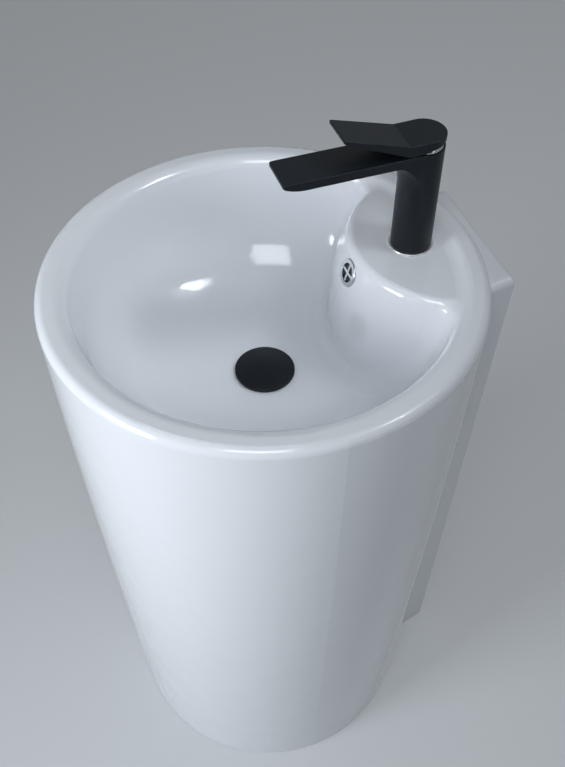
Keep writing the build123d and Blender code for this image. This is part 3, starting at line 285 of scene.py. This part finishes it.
# Waste: a turned brass body with a matte black domed cap on a click mechanism,
# clamped through the drain between two rubber seals by a back nut.

brass = finish(
    "turned_brass", colours=((0.53, 0.38, 0.16), (0.60, 0.44, 0.20)), drift=40.0,
    roughness=(0.22, 0.34), ripple=300.0, grain=1500.0, share=0.5, relief=0.00005,
    plain={"Metallic": 1.0})
black_coat = finish(
    "matte_black_coat", colours=((0.0050, 0.0070, 0.0105), (0.0070, 0.0095, 0.0135)), drift=30.0,
    roughness=(0.34, 0.44), ripple=700.0, grain=3200.0, share=0.6, relief=0.00006,
    plain={"Specular IOR Level": 0.25})
rubber = finish(
    "black_rubber", colours=((0.016, 0.016, 0.017), (0.026, 0.026, 0.027)), drift=80.0,
    roughness=(0.72, 0.86), ripple=500.0, grain=2500.0, share=0.6, relief=0.00015)
grey_plastic = finish(
    "grey_acetal", colours=((0.30, 0.31, 0.32), (0.35, 0.36, 0.37)), drift=50.0,
    roughness=(0.38, 0.48), ripple=400.0, grain=2600.0, share=0.5, relief=0.00004)
steel = finish(
    "bright_steel", colours=((0.50, 0.50, 0.51), (0.57, 0.57, 0.58)), drift=60.0,
    roughness=(0.24, 0.36), ripple=400.0, grain=1800.0, share=0.5, relief=0.00004,
    plain={"Metallic": 1.0})
dress(brass, "waste_body", "waste_back_nut")
dress(black_coat, "waste_cap")
dress(rubber, "waste_top_seal", "waste_bottom_seal", "waste_cap_seal")
dress(grey_plastic, "click_housing", "click_plunger")
dress(steel, "click_spring")


# Bottle trap: moulded white polypropylene with hexagon nuts and black washers,
# screwed up to the waste's tail, with a tube that runs back to the wall.

white_plastic = finish(
    "white_polypropylene", colours=((0.72, 0.72, 0.70), (0.77, 0.77, 0.755)), drift=18.0,
    roughness=(0.36, 0.48), ripple=160.0, grain=1400.0, share=0.35, relief=0.00012)
dress(white_plastic, "trap_inlet_nut", "trap_inlet_tube", "trap_head", "trap_cup",
      "trap_outlet_nut", "trap_outlet_tube")
dress(rubber, "trap_inlet_washer", "trap_cup_seal", "trap_outlet_washer")


# Tap body: a brass casting with a flat spout, coated matte black, on a bright base ring.
# A stud, a horseshoe plate and a rubber washer clamp it to the ledge from below.

satin_chrome = finish(
    "satin_chrome", colours=((0.66, 0.67, 0.69), (0.72, 0.73, 0.75)), drift=60.0,
    roughness=(0.30, 0.40), ripple=200.0, grain=1200.0, share=0.4, relief=0.00003,
    plain={"Metallic": 1.0})
dress(black_coat, "tap_body")
dress(satin_chrome, "tap_base_ring")
dress(rubber, "tap_base_seal", "tap_rubber_washer", "aerator_seal")
dress(grey_plastic, "aerator_housing", "aerator_insert")
dress(steel, "tap_stud", "tap_clamp_plate", "tap_stud_nut")

# The spout's underside runs down into the body in a hollow curve over its whole width.
# Its outline is swept round the body's axis and cut off just inside the spout's sides.
TAP_Y = 0.178
TAP_RADIUS = 0.0233
SPOUT_LOW = 0.9525
SPOUT_HALF = 0.02295     # 0.05 mm less than the spout's half width
ROOT_REACH = 0.022       # how far the curve runs along under the spout
ROOT_DROP = 0.040        # and how far it runs down the body
ROOT_BITE = 0.002        # how far the root reaches into spout and body
ROOT_CURVE_STEPS = 24
ROOT_SWEEP = radians(80.0)
ROOT_SWEEP_STEPS = 64
ROOT_SHARP = radians(35.0)    # edges that bend more than this stay sharp
CUT_SLACK = 1e-7         # points this near a cut lie on it
AXIS_FOOT = (0.0, 0.0, 0.0)    # on the body's axis, until the root is moved to its place


def settle(elements, place):
    """Sorts elements by where they are, so that each run stores them in the same order."""
    rank = {element: index for index, element in enumerate(sorted(elements, key=place))}
    elements.sort(key=rank.get)


root = bmesh.new()
first = root.verts.new((0.0, -TAP_RADIUS - ROOT_DROP, 0.0))
bmesh.ops.spin(root, geom=[first], cent=(0.0, -TAP_RADIUS - ROOT_DROP, -ROOT_DROP),
               axis=(1.0, 0.0, 0.0), angle=radians(-90.0), steps=ROOT_CURVE_STEPS)
bmesh.ops.scale(root, verts=root.verts, vec=(1.0, ROOT_REACH / ROOT_DROP, 1.0),
                space=Matrix.Translation((0.0, TAP_RADIUS, 0.0)))
root.verts.ensure_lookup_table()
outline = list(root.verts)
for y, z in ((-TAP_RADIUS + ROOT_BITE, -ROOT_DROP), (-TAP_RADIUS + ROOT_BITE, ROOT_BITE),
             (-TAP_RADIUS - ROOT_REACH, ROOT_BITE)):
    outline.append(root.verts.new((0.0, y, z)))
root.faces.new(outline)
bmesh.ops.rotate(root, verts=root.verts, cent=AXIS_FOOT,
                 matrix=Matrix.Rotation(-ROOT_SWEEP, 3, "Z"))
bmesh.ops.spin(root, geom=root.verts[:] + root.edges[:] + root.faces[:], cent=AXIS_FOOT,
               axis=(0.0, 0.0, 1.0), angle=2.0 * ROOT_SWEEP, steps=ROOT_SWEEP_STEPS)
for side in (-1.0, 1.0):
    cut = bmesh.ops.bisect_plane(root, geom=root.verts[:] + root.edges[:] + root.faces[:],
                                 dist=CUT_SLACK, plane_co=(side * SPOUT_HALF, 0.0, 0.0),
                                 plane_no=(side, 0.0, 0.0), clear_outer=True)
    cut_edges = [part for part in cut["geom_cut"] if isinstance(part, bmesh.types.BMEdge)]
    bmesh.ops.edgeloop_fill(root, edges=cut_edges)
bmesh.ops.remove_doubles(root, verts=root.verts, dist=WELD)
bmesh.ops.recalc_face_normals(root, faces=root.faces)
bmesh.ops.translate(root, verts=root.verts, vec=(0.0, TAP_Y, SPOUT_LOW))
settle(root.verts, lambda vertex: vertex.co[:])
settle(root.faces, lambda face: face.calc_center_median()[:])
root_mesh = bpy.data.meshes.new("spout_root")
root.to_mesh(root_mesh)
root.free()
root_mesh.shade_smooth()
root_mesh.set_sharp_from_angle(angle=ROOT_SHARP)
root_mesh.materials.append(black_coat)
spout_root = bpy.data.objects.new("spout_root", root_mesh)
bpy.context.scene.collection.objects.link(spout_root)
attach(spout_root, "basin")


# Cartridge: ceramic discs in a plastic housing, driven by a steel spindle, held by a
# brass nut and hidden by a chrome dome.

disc_ceramic = finish(
    "alumina", colours=((0.74, 0.72, 0.66), (0.80, 0.78, 0.73)), drift=120.0,
    roughness=(0.22, 0.32), ripple=500.0, grain=3000.0, share=0.6, relief=0.00002)
dress(disc_ceramic, "cartridge_fixed_disc", "cartridge_moving_disc")
dress(grey_plastic, "cartridge_base", "cartridge_carrier", "cartridge_rotor", "cartridge_housing")
dress(rubber, "cartridge_base_seals")
dress(steel, "cartridge_pivot_pin", "cartridge_spindle")
dress(brass, "cartridge_nut")
dress(chrome, "cartridge_dome")


# Lever: a cast blade with the body's matte black coat, held on the spindle by a grub screw
# that a small plug hides.

dress(black_coat, "tap_lever", "lever_index_cap")
dress(steel, "lever_grub_screw")


# Studio: a pale floor under a faint sky, a low daylight window on the left, softboxes high
# over the camera and on the right, and a small gridded lamp that lights the bowl.

FLOOR_HALF = 40.0
FLOOR_COLOUR = (0.56, 0.575, 0.60)
DAYLIGHT = (0.92, 0.965, 1.0)
SKY_FILL = 0.20          # what the sky adds to the lamps
SKY_SEEN = 0.34          # what the camera and bright metal see of it
FLOOR_SEEN = 0.13        # what they see of the floor beyond its lit colour

bpy.ops.mesh.primitive_plane_add(size=2 * FLOOR_HALF)
floor = bpy.context.object
floor.name = "floor"
floor_finish = finish(
    "pale_floor", colours=(FLOOR_COLOUR, FLOOR_COLOUR), drift=1.0, roughness=(0.6, 0.75),
    ripple=8.0, grain=90.0, share=0.5, relief=0.0002,
    plain={"Emission Color": (*DAYLIGHT, 1.0)})
floor.data.materials.append(floor_finish)


def seen_directly(tree):
    """One for rays from the camera, a gloss or glass, nought for the light on the pieces."""
    ray = tree.nodes.new("ShaderNodeLightPath")
    either = tree.nodes.new("ShaderNodeMath")
    either.operation = "MAXIMUM"
    any_of_three = tree.nodes.new("ShaderNodeMath")
    any_of_three.operation = "MAXIMUM"
    tree.links.new(ray.outputs["Is Camera Ray"], either.inputs[0])
    tree.links.new(ray.outputs["Is Glossy Ray"], either.inputs[1])
    tree.links.new(either.outputs["Value"], any_of_three.inputs[0])
    tree.links.new(ray.outputs["Is Transmission Ray"], any_of_three.inputs[1])
    return any_of_three.outputs["Value"]


def set_seen_level(tree, socket, least, most):
    """Gives a socket a strength: least for the light it sheds, most where it is seen directly."""
    level = tree.nodes.new("ShaderNodeMapRange")
    level.inputs["To Min"].default_value = least
    level.inputs["To Max"].default_value = most
    tree.links.new(seen_directly(tree), level.inputs["Value"])
    tree.links.new(level.outputs["Result"], socket)


floor_tree = floor_finish.node_tree
set_seen_level(floor_tree, floor_tree.nodes["Principled BSDF"].inputs["Emission Strength"],
               least=0.0, most=FLOOR_SEEN)

world = bpy.data.worlds.new("studio")
bpy.context.scene.world = world
world.use_nodes = True
sky_tree = world.node_tree
sky = sky_tree.nodes["Background"]
sky.inputs["Color"].default_value = (*DAYLIGHT, 1.0)
set_seen_level(sky_tree, sky.inputs["Strength"], least=SKY_FILL, most=SKY_SEEN)


def soft_lamp(name, place, target, size, watts, spread=180.0):
    """A softbox that faces a target point, with a grid where its spread is under 180 degrees."""
    data = bpy.data.lights.new(name, "AREA")
    data.shape = "RECTANGLE"
    data.size, data.size_y = size
    data.energy = watts
    data.spread = radians(spread)
    data.color = DAYLIGHT
    lamp = bpy.data.objects.new(name, data)
    bpy.context.scene.collection.objects.link(lamp)
    lamp.location = place
    lamp.rotation_euler = (Vector(target) - Vector(place)).to_track_quat("-Z", "Y").to_euler()


# Grids keep the window lamp off the floor below it and the bowl lamp off the ledge.
BOWL_MIDDLE = (0.0, 0.0, 0.7)
DRUM_AXIS_HIGH = (0.0, 0.0, 0.8)
BOWL_FAR_LEFT = (-0.08, -0.16, 0.74)
soft_lamp("window_lamp", place=(0.5, -1.9, 1.0), target=DRUM_AXIS_HIGH, size=(0.8, 1.1),
          watts=9.2, spread=90.0)
soft_lamp("high_lamp", place=(1.1, -0.5, 2.3), target=BOWL_MIDDLE, size=(0.8, 0.8), watts=10.0)
soft_lamp("right_lamp", place=(0.5, 0.9, 2.2), target=BOWL_MIDDLE, size=(0.8, 0.8), watts=2.0)
soft_lamp("bowl_lamp", place=(0.3, 0.5, 1.7), target=BOWL_FAR_LEFT, size=(0.3, 0.3),
          watts=0.14, spread=28.0)

# The camera stands where the photograph was taken from.
CAMERA_PLACE = Vector((0.7412, -0.2453, 1.5260))
CAMERA_AIM = Vector((0.0, 0.0229, 0.6454))
CAMERA_ROLL = 0.188      # degrees
CAMERA_LENS = 44.27      # millimetres, on a sensor 36 mm long

camera_data = bpy.data.cameras.new("camera")
camera_data.lens = CAMERA_LENS
camera = bpy.data.objects.new("camera", camera_data)
bpy.context.scene.collection.objects.link(camera)
camera.location = CAMERA_PLACE
camera.rotation_mode = "QUATERNION"
upright = (CAMERA_AIM - CAMERA_PLACE).to_track_quat("-Z", "Y")
camera.rotation_quaternion = upright @ Quaternion((0.0, 0.0, 1.0), radians(CAMERA_ROLL))
bpy.context.scene.camera = camera
bpy.context.scene.view_settings.view_transform = "Standard"
